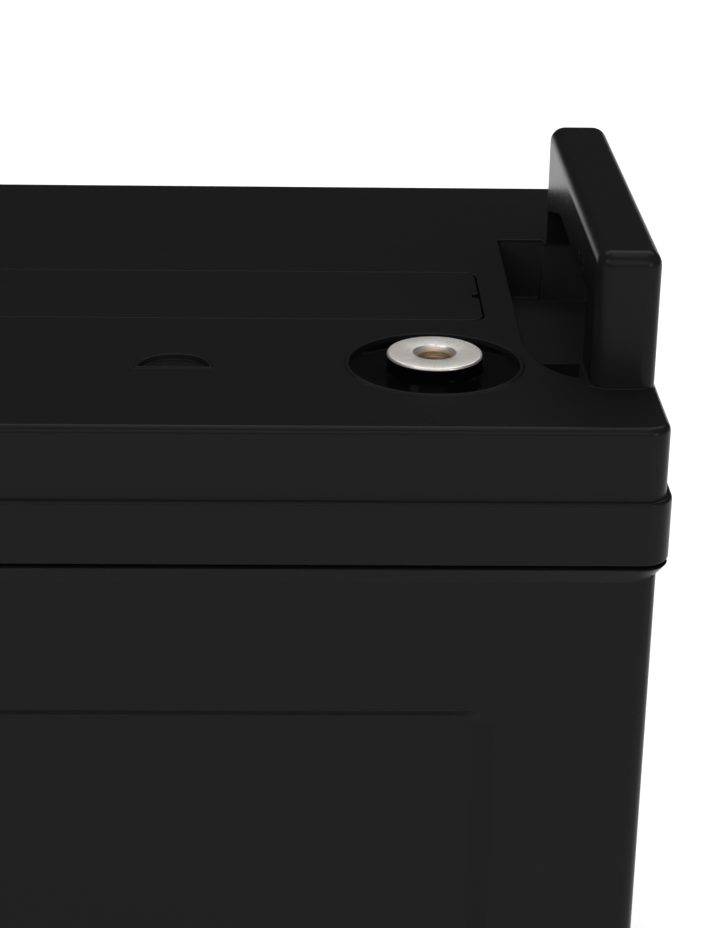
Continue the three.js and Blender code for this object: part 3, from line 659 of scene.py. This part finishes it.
def panel_cutter(half_width, low, high, face, turn):
    """A shallow recess with sloping borders, for a face that looks along -Y before the turn."""
    case, _, _ = sizes()
    depth, slope = case.panel_depth, case.panel_slope
    bm = bmesh.new()
    centre = Vector((0, -face, (low + high) / 2))
    place = box_place((-half_width, -face - depth, low), (half_width, -face + depth, high))
    bmesh.ops.create_cube(bm, size=1.0, matrix=place)
    across = [e for e in bm.edges if abs(e.verts[0].co.y - e.verts[1].co.y) > NEAR]
    round_off(bm, across, case.panel_corner, 6)
    half_height = (high - low) / 2
    for outward, shift in ((False, -slope), (True, slope)):
        ring = [v for v in bm.verts if (v.co.y < -face) == outward]
        across_share = (half_width + shift) / half_width
        upward_share = (half_height + LEVEL_BORDER_SHARE * shift) / half_height
        grown = (across_share, 1, upward_share)
        bmesh.ops.scale(bm, vec=grown, space=Matrix.Translation(-centre), verts=ring)
    bmesh.ops.rotate(bm, matrix=Matrix.Rotation(turn, 3, "Z"), verts=bm.verts)
    bmesh.ops.recalc_face_normals(bm, faces=bm.faces)
    return bm


def half_kept(bm, point, normal):
    """Cuts the shape off where the normal points, and closes it."""
    cutting = bmesh.ops.bisect_plane(
        bm,
        geom=bm.verts[:] + bm.edges[:] + bm.faces[:],
        plane_co=point,
        plane_no=normal,
        clear_outer=True,
    )
    edges = [e for e in cutting["geom_cut"] if isinstance(e, bmesh.types.BMEdge)]
    bmesh.ops.contextual_create(bm, geom=edges)
    return bm


class BATTERY_OT_case(Operator):
    """Moulded case with its shoulder, recessed panels and cell walls"""

    bl_idname = "battery.case"
    bl_label = "Case"

    def execute(self, context):
        case, lid, _ = sizes()
        seam = lid.top - lid.band - lid.flange
        shoulder_top = seam - case.seam_gap
        body = piece(
            "case_shell",
            block_prism(case.inset, 0.0, seam, case.corner - case.inset, bottom=case.base_edge),
        )
        flare = block_prism(0.0, shoulder_top - case.shoulder, shoulder_top, case.corner)
        half = block_half(0.0)
        drawn_in = case.inset + case.shoulder_set
        for vert in flare.verts:
            if vert.co.z < shoulder_top - NEAR:
                vert.co.x *= (half[0] - drawn_in) / half[0]
                vert.co.y *= (half[1] - drawn_in) / half[1]
        add(body, flare)
        lip = case.inset + case.lip_inset
        add(body, block_prism(lip, seam - OVERLAP, seam + case.lip_height, case.corner - lip))
        inner_half = block_half(case.inset + case.wall)[1]
        for low_x, high_x in cell_limits():
            high = (high_x, inner_half, seam + case.lip_height + OVERCUT)
            cut(body, block((low_x, -inner_half, case.floor), high, case.cell_corner))
        half_x, half_y = block_half(case.inset)
        top = lid.top - case.panel_drop
        quarter = math.pi / 2
        for half_face, distance, margin, turn in (
            (half_x, half_y, case.side_margin, 0),
            (half_y, half_x, case.end_margin, quarter),
            (half_x, half_y, case.side_margin, 2 * quarter),
            (half_y, half_x, case.end_margin, 3 * quarter),
        ):
            cut(body, panel_cutter(half_face - margin, case.panel_bottom, top, distance, turn))
        tidy_mesh(body)
        soften(body, case.edge, 3, 20)
        finish_piece(body, moulded_plastic("case_plastic", colours().plastic), "case")
        return {"FINISHED"}


# ---------------------------------------------------------------- lid


def groove_plan(depth_low, depth_high):
    """The finger groove on the +X end as a prism: a rectangle with one long curved corner."""
    _, lid, _ = sizes()
    inner, _ = grip_limits()
    bm = bmesh.new()
    left, front, back = inner - lid.groove_width, lid.groove_front, lid.grip_back
    place = box_place((left, front, depth_low), (inner - lid.leg_ledge, back, depth_high))
    bmesh.ops.create_cube(bm, size=1.0, matrix=place)
    stretch = lid.groove_curve / lid.groove_width
    bmesh.ops.scale(bm, vec=(1, 1 / stretch, 1), verts=bm.verts)
    round_off(bm, corner_edges(bm, left, front / stretch), lid.groove_width * CURVE_SHARE, 16)
    bmesh.ops.scale(bm, vec=(1, stretch, 1), verts=bm.verts)
    round_off(bm, corner_edges(bm, left, back), lid.pocket_corner, 3)
    return bm


def opening_under_bar():
    """The pocket's reach under the bar of the +X grip, drawn from the side and pushed along X."""
    _, lid, _ = sizes()
    inner, _ = grip_limits()
    front = lid.grip_front + lid.front_leg
    back = lid.grip_back - lid.back_leg
    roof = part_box("lid")[1].z - lid.grip_bar
    near = inner - 2 * lid.leg_ledge
    far = block_half(lid.band_inset)[0] - lid.moulded_wall
    bm = bmesh.new()
    outline = [
        (front, lid.top - lid.groove_drop),
        (lid.groove_step, lid.top - lid.groove_drop),
        (lid.groove_step, lid.top - lid.ledge_drop),
        (back, lid.top - lid.ledge_drop),
        (back, roof - lid.roof_drop),
        (back - lid.roof_slope, roof),
        (front, roof),
    ]
    face = bm.faces.new([bm.verts.new((near, y, z)) for y, z in outline])
    pushed = bmesh.ops.extrude_face_region(bm, geom=[face])["geom"]
    pushed = [v for v in pushed if isinstance(v, bmesh.types.BMVert)]
    bmesh.ops.translate(bm, vec=(far - near, 0, 0), verts=pushed)
    bmesh.ops.recalc_face_normals(bm, faces=bm.faces)
    round_off(bm, corner_edges(bm, far, back), lid.reach_corner, 4)
    return bm


def half_moon(grow, low, high):
    """A half-round prism, with its straight side to the front."""
    _, lid, _ = sizes()
    bm = drum((lid.moon_x, lid.moon_y), lid.moon_radius + grow, low, high, 48)
    return half_kept(bm, (0, lid.moon_y - grow, 0), (0, -1, 0))


class BATTERY_OT_lid(Operator):
    """Lid with two bands, grips, finger grooves, terminal wells and the vent cover's seat"""

    bl_idname = "battery.lid"
    bl_label = "Lid"

    def execute(self, context):
        case, lid, _ = sizes()
        seam = lid.top - lid.band - lid.flange
        step = lid.top - lid.band
        under_top = lid.top - lid.thickness
        upper_corner = case.corner - lid.band_inset
        lower = block_prism(
            0.0,
            seam,
            step,
            case.corner,
            top=lid.flange_edge,
            bottom=lid.flange_base,
            corner_segments=10,
        )
        body = piece("lid_shell", lower)
        upper_low = seam + case.lip_height
        upper = block_prism(
            lid.band_inset, upper_low, lid.top, upper_corner, top=lid.band_edge, corner_segments=10
        )
        add(body, upper)
        self.grips(body)
        inner_half = block_half(case.inset + case.wall)[1]
        for low_x, high_x in cell_limits():
            low, high = (low_x, -inner_half, seam - OVERCUT), (high_x, inner_half, under_top)
            cut(body, block(low, high, case.cell_corner, corner_segments=3))
        self.pocket_walls(body)
        self.wells_and_channel(body)
        self.pockets(body)
        add(body, mirrored(half_moon(lid.moon_lip, lid.top - OVERLAP, lid.top + lid.lip_height)))
        cut(body, mirrored(half_moon(0.0, lid.top - lid.moon_drop, lid.top + OVERCUT)))
        tidy_mesh(body)
        soften(body, lid.edge, 3, 35)
        # limits of the finger pocket, inside which the lid's plastic is painted paler as painted light
        pocket_near = grip_limits()[0] - lid.groove_width
        pocket = (pocket_near, self.outer_wall() - lid.moulded_wall / 2, lid.groove_front, lid.top)
        plastic = moulded_plastic("lid_plastic", colours().plastic, pocket)
        finish_piece(body, plastic, "lid")
        return {"FINISHED"}

    def outer_wall(self):
        """X of the middle of the lid's end wall."""
        _, lid, _ = sizes()
        return block_half(lid.band_inset)[0] - lid.moulded_wall / 2

    def grips(self, body):
        _, lid, _ = sizes()
        inner, outer = grip_limits()
        grip_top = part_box("lid")[1].z
        grip = block(
            (inner, lid.grip_front, lid.top - 2 * OVERLAP),
            (outer, lid.grip_back, grip_top),
            lid.grip_corner,
            top=lid.grip_edge,
            edge_segments=6,
        )
        add(body, mirrored(grip))

    def pocket_walls(self, body):
        """Cores the front legs and adds the walls and floors round the finger pockets."""
        _, lid, _ = sizes()
        inner, outer = grip_limits()
        under_top = lid.top - lid.thickness
        wall = lid.moulded_wall
        leg_back = lid.grip_front + lid.front_leg
        thick = lid.grip_wall
        core = block(
            (inner + thick, lid.grip_front + thick, under_top - OVERLAP),
            (outer - thick, leg_back - thick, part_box("lid")[1].z - thick),
        )
        cut(body, mirrored(core))
        near, far = inner - lid.groove_width - wall, self.outer_wall()
        deep, shallow = lid.top - lid.groove_drop - wall, lid.top - lid.ledge_drop - wall
        top, step_back = under_top + OVERLAP, lid.groove_step + wall
        for low, high in (
            ((near, lid.groove_step, shallow), (far, lid.grip_back + wall, top)),
            ((near, leg_back - wall, deep), (far, step_back, top)),
            ((near, lid.groove_front - wall, deep), (inner + wall, step_back, top)),
        ):
            add(body, mirrored(block(low, high)))

    def wells_and_channel(self, body):
        """Adds the terminal bosses and their rims, and the tray and seat of the vent cover."""
        _, lid, _ = sizes()
        wall = lid.moulded_wall
        under_top = lid.top - lid.thickness + OVERLAP
        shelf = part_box("terminal_potting_negative")[0].z
        terminal = middle("terminal_insert_negative")
        boss = drum(terminal, lid.well_radius + wall, shelf - lid.boss_depth, under_top, 64)
        add(body, mirrored(boss))
        rim_radius = lid.well_radius + lid.rim_width
        add(body, mirrored(drum(terminal, rim_radius, lid.top - OVERLAP, lid.top + lid.rim_height)))
        low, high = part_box("vent_cover")
        margin = Vector((lid.channel_ledge, lid.channel_ledge, 0))
        side = Vector((wall, wall, 0))
        gap = Vector((lid.seat_gap, lid.seat_gap, 0))
        channel_floor = lid.top - lid.channel_drop
        corners = (low + margin).xy, (high - margin).xy
        tray_low, tray_high = (corners[0] - side.xy), (corners[1] + side.xy)
        add(body, block((*tray_low, channel_floor - lid.tray_floor), (*tray_high, under_top)))
        seat_low, seat_high = (low - gap).xy, (high + gap).xy
        seat = block(
            (*seat_low, lid.top - lid.cover_plate), (*seat_high, lid.top + OVERCUT), lid.cover_corner
        )
        cut(body, seat)
        cut(body, block((*corners[0], channel_floor), (*corners[1], lid.top)))

    def pockets(self, body):
        """Opens the finger pockets, the terminal wells and the holes for the posts."""
        _, lid, _ = sizes()
        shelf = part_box("terminal_potting_negative")[0].z
        terminal = middle("terminal_insert_negative")
        rear = groove_plan(lid.top - lid.ledge_drop, lid.top + 1.5 * OVERCUT)
        cut(body, mirrored(rear))
        front = groove_plan(lid.top - lid.groove_drop, lid.top + 2 * OVERCUT)
        cut(body, mirrored(half_kept(front, (0, lid.groove_step, 0), (0, 1, 0))))
        cut(body, mirrored(opening_under_bar()))
        cut(body, mirrored(drum(terminal, lid.well_radius, shelf, lid.top + OVERCUT)))
        hole = drum(terminal, lid.post_hole, shelf - lid.post_depth, shelf + OVERLAP, 48)
        cut(body, mirrored(hole))


class BATTERY_OT_vent_cover(Operator):
    """Flush vent cover strip with a gas notch at each end"""

    bl_idname = "battery.vent_cover"
    bl_label = "Vent cover"

    def execute(self, context):
        _, lid, _ = sizes()
        low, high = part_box("vent_cover")
        plate_low = high.z - lid.cover_plate
        plate = block(
            (*low.xy, plate_low), high, lid.cover_corner, top=lid.cover_edge, edge_segments=3
        )
        body = piece("vent_cover_strip", plate)
        channel = lid.channel_ledge + lid.seat_gap
        margin = Vector((channel, channel))
        rim_top = plate_low + OVERLAP / 2
        add(body, block((*(low.xy + margin), low.z), (*(high.xy - margin), rim_top)))
        margin = margin + Vector((lid.cover_wall, lid.cover_wall))
        cut(body, block((*(low.xy + margin), low.z - OVERLAP), (*(high.xy - margin), plate_low)))
        centre_y = (low.y + high.y) / 2
        notch = drum((high.x, centre_y), lid.notch, low.z - OVERLAP, high.z + OVERLAP, 32)
        cut(body, mirrored(notch))
        tidy_mesh(body)
        soften(body, lid.cover_softening, 2, 35)
        plastic = moulded_plastic("cover_plastic", colours().plastic)
        finish_piece(body, plastic, "vent_cover")
        return {"FINISHED"}


# ---------------------------------------------------------------- terminals


def turned(points, centre, steps=96):
    """A body of revolution; points are (radius, z) from the axis back to the axis."""
    bm = bmesh.new()
    verts = [bm.verts.new((radius, 0, z)) for radius, z in points]
    edges = [bm.edges.new(pair) for pair in zip(verts, verts[1:])]
    bmesh.ops.spin(
        bm,
        geom=verts + edges,
        cent=(0, 0, 0),
        axis=(0, 0, 1),
        angle=2 * math.pi,
        steps=steps,
        use_merge=True,
    )
    bmesh.ops.remove_doubles(bm, verts=bm.verts, dist=1e-7)
    bmesh.ops.recalc_face_normals(bm, faces=bm.faces)
    bmesh.ops.translate(bm, vec=(centre[0], centre[1], 0), verts=bm.verts)
    return bm


def arc(centre, radius, start, end, steps=5):
    """Points on a circular arc, as (radius, z) pairs; angles in degrees."""
    angles = [math.radians(start + (end - start) * n / steps) for n in range(steps + 1)]
    return [(centre[0] + radius * math.cos(a), centre[1] + radius * math.sin(a)) for a in angles]


class BATTERY_OT_terminals(Operator):
    """Threaded terminal inserts and the resin poured round them"""

    bl_idname = "battery.terminals"
    bl_label = "Terminals"

    def insert(self, pole):
        _, _, terminal = sizes()
        node = f"terminal_insert_{pole}"
        low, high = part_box(node)
        radius = (high.x - low.x) / 2
        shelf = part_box(f"terminal_potting_{pole}")[0].z
        edge = terminal.edge
        profile = [(0, low.z), (terminal.stem, low.z), (terminal.stem, shelf), (radius, shelf)]
        profile += arc((radius - edge, high.z - edge), edge, 0, 90)
        rim = terminal.mouth_edge
        profile += arc((terminal.mouth + rim, high.z - rim), rim, 90, 180, 3)
        z = high.z - (terminal.mouth - terminal.minor)
        crest, root = terminal.minor, terminal.minor + terminal.thread_depth
        bottom = high.z - terminal.depth
        while z > bottom + 2 * terminal.pitch:
            flat, half = terminal.pitch / 8, terminal.pitch / 2
            profile += [(crest, z), (crest, z - flat), (root, z - half), (root, z - half - flat)]
            z -= terminal.pitch
        profile += [(crest, z), (crest, bottom + 1.2 * terminal.pitch), (0, bottom)]
        made = piece(node + "_turned", turned(profile, middle(node)))
        made.data.shade_smooth()
        crease(made, 35)
        centre = (*middle(node).xy, high.z)
        finish_piece(made, tinned_brass(node + "_tin", colours().tin, centre), node)

    def potting(self, pole):
        terminal = sizes()[2]
        node = f"terminal_potting_{pole}"
        low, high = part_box(node)
        outer = (high.x - low.x) / 2
        insert_low, insert_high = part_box(f"terminal_insert_{pole}")
        inner = (insert_high.x - insert_low.x) / 2 + terminal.clearance
        rise = terminal.meniscus
        level, reach = high.z - rise, terminal.meniscus_reach
        points = []
        steps = 24
        for n in range(steps + 1):
            share = n / steps
            radius = inner + (outer - inner) * share
            climb = math.exp((inner - radius) / reach) + math.exp((radius - outer) / reach)
            points.append((radius, level + rise * min(climb, 1.0)))
        profile = [(inner, low.z), (outer, low.z)] + points[::-1] + [(inner, low.z)]
        made = piece(node + "_poured", turned(profile, middle(node)))
        made.data.shade_smooth()
        crease(made, 45)
        colour = colours().potting if pole == "negative" else colours().red_potting
        slot = "black_potting" if pole == "negative" else "red_potting"
        finish_piece(made, poured_potting(node + "_resin", colour), node)

    def execute(self, context):
        for pole in POLES:
            self.insert(pole)
            self.potting(pole)
        return {"FINISHED"}


def crease(made, angle):
    """Keeps edges sharper than the angle crisp in smooth shading."""
    bm = bmesh.new()
    bm.from_mesh(made.data)
    limit = math.radians(angle)
    for edge in bm.edges:
        edge.smooth = len(edge.link_faces) == 2 and edge.calc_face_angle(0) < limit
    bm.to_mesh(made.data)
    bm.free()


# ---------------------------------------------------------------- pieces kept from the frame


class BATTERY_OT_inner_finishes(Operator):
    """Finishes for the plates, mats, posts, links and rubber parts"""

    bl_idname = "battery.inner_finishes"
    bl_label = "Inner finishes"

    def execute(self, context):
        tint = colours()
        finishes = {
            "positive_plates": porous_paste("positive_paste", tint.positive),
            "negative_plates": porous_paste("negative_paste", tint.negative),
            "separator": fibrous_mat("glass_mat", tint.glass),
            "cell_link": cast_lead("lead_cast", tint.lead),
            "terminal_post": cast_lead("post_lead", tint.lead),
            "valve_cap": soft_rubber("cap_rubber", tint.rubber),
            "terminal_o_ring": soft_rubber("ring_rubber", tint.rubber),
        }
        for name, node in NODES.items():
            for prefix, material in finishes.items():
                if name.startswith(prefix):
                    node.data.materials.clear()
                    node.data.materials.append(material)
        return {"FINISHED"}


# ---------------------------------------------------------------- stage


MIDDLE = (0.1, 0, 0.2)
BEHIND = (0.3, 1.5, 0)
SOFTBOXES = (
    # name, where it hangs, where it points, its width and height, its power in watts
    ("front", (0.05, -1.5, 1.15), MIDDLE, (1.8, 1.0), 11),
    ("key_left", (-1.1, -1.0, 1.2), MIDDLE, (0.6, 0.5), 6),
    ("fill_right", (1.0, -1.1, 0.55), MIDDLE, (0.3, 0.5), 4),
    ("top", (0.2, 0.0, 1.7), MIDDLE, (1.0, 0.8), 5),
    ("backdrop", (0.3, 1.5, 2.3), BEHIND, (3.2, 1.4), 34),
)


def softbox(name, place, aim, size, power):
    data = bpy.data.lights.new(name, "AREA")
    data.shape = "RECTANGLE"
    data.size, data.size_y = size
    data.energy = power
    lamp = bpy.data.objects.new(name, data)
    lamp.location = place
    lamp.rotation_euler = (Vector(aim) - Vector(place)).to_track_quat("-Z", "Y").to_euler()
    bpy.context.scene.collection.objects.link(lamp)


class BATTERY_OT_stage(Operator):
    """Pale floor, soft lights and the camera"""

    bl_idname = "battery.stage"
    bl_label = "Stage"

    def execute(self, context):
        stage = context.scene.battery_stage
        bm = bmesh.new()
        bmesh.ops.create_grid(bm, x_segments=2, y_segments=2, size=stage.floor_size)
        floor = piece("floor", bm)
        floor.data.materials.append(pale_floor("pale_floor"))
        for lamp in SOFTBOXES:
            softbox(*lamp)
        world = bpy.data.worlds.new("studio")
        world.use_nodes = True
        background = world.node_tree.nodes["Background"]
        background.inputs["Color"].default_value = (1, 1, 1, 1)
        path = world.node_tree.nodes.new("ShaderNodeLightPath")
        level = world.node_tree.nodes.new("ShaderNodeMapRange")
        level.inputs["To Min"].default_value = stage.room_light
        level.inputs["To Max"].default_value = stage.room_gloss
        world.node_tree.links.new(path.outputs["Is Glossy Ray"], level.inputs["Value"])
        world.node_tree.links.new(level.outputs["Result"], background.inputs["Strength"])
        context.scene.world = world
        data = bpy.data.cameras.new("camera")
        data.lens = stage.lens
        data.sensor_width = 36.0
        data.clip_start = 0.01
        camera = bpy.data.objects.new("camera", data)
        yaw, pitch, roll = stage.camera_turn
        turn = (
            Matrix.Rotation(-yaw, 4, "Z")
            @ Matrix.Rotation(math.pi / 2 - pitch, 4, "X")
            @ Matrix.Rotation(roll, 4, "Z")
        )
        camera.matrix_world = Matrix.Translation(stage.camera_place) @ turn
        context.scene.collection.objects.link(camera)
        context.scene.camera = camera
        context.scene.view_settings.view_transform = "Standard"
        return {"FINISHED"}


# ---------------------------------------------------------------- add-on


class BATTERY_PT_panel(Panel):
    """Lists the battery's builders"""

    bl_idname = "BATTERY_PT_panel"
    bl_label = "Battery"
    bl_space_type = "VIEW_3D"
    bl_region_type = "UI"
    bl_category = "Battery"

    def draw(self, context):
        for operator in OPERATORS:
            self.layout.operator(operator.bl_idname)
        for group in GROUPS:
            settings = getattr(context.scene, group)
            box = self.layout.box()
            for name in settings.__annotations__:
                box.prop(settings, name)


OPERATORS = (
    BATTERY_OT_case,
    BATTERY_OT_lid,
    BATTERY_OT_vent_cover,
    BATTERY_OT_terminals,
    BATTERY_OT_inner_finishes,
    BATTERY_OT_stage,
)
GROUPS = {
    "battery_case": CaseSizes,
    "battery_lid": LidSizes,
    "battery_terminal": TerminalSizes,
    "battery_stage": StageSizes,
    "battery_colours": Colours,
}
CLASSES = (*GROUPS.values(), *OPERATORS, BATTERY_PT_panel)


def register():
    for each in CLASSES:
        bpy.utils.register_class(each)
    for name, group in GROUPS.items():
        setattr(bpy.types.Scene, name, PointerProperty(type=group))


def unregister():
    for name in GROUPS:
        delattr(bpy.types.Scene, name)
    for each in reversed(CLASSES):
        bpy.utils.unregister_class(each)


def main():
    register()
    bpy.ops.battery.case()
    bpy.ops.battery.lid()
    bpy.ops.battery.vent_cover()
    bpy.ops.battery.terminals()
    bpy.ops.battery.inner_finishes()
    bpy.ops.battery.stage()


if __name__ == "__main__":
    main()
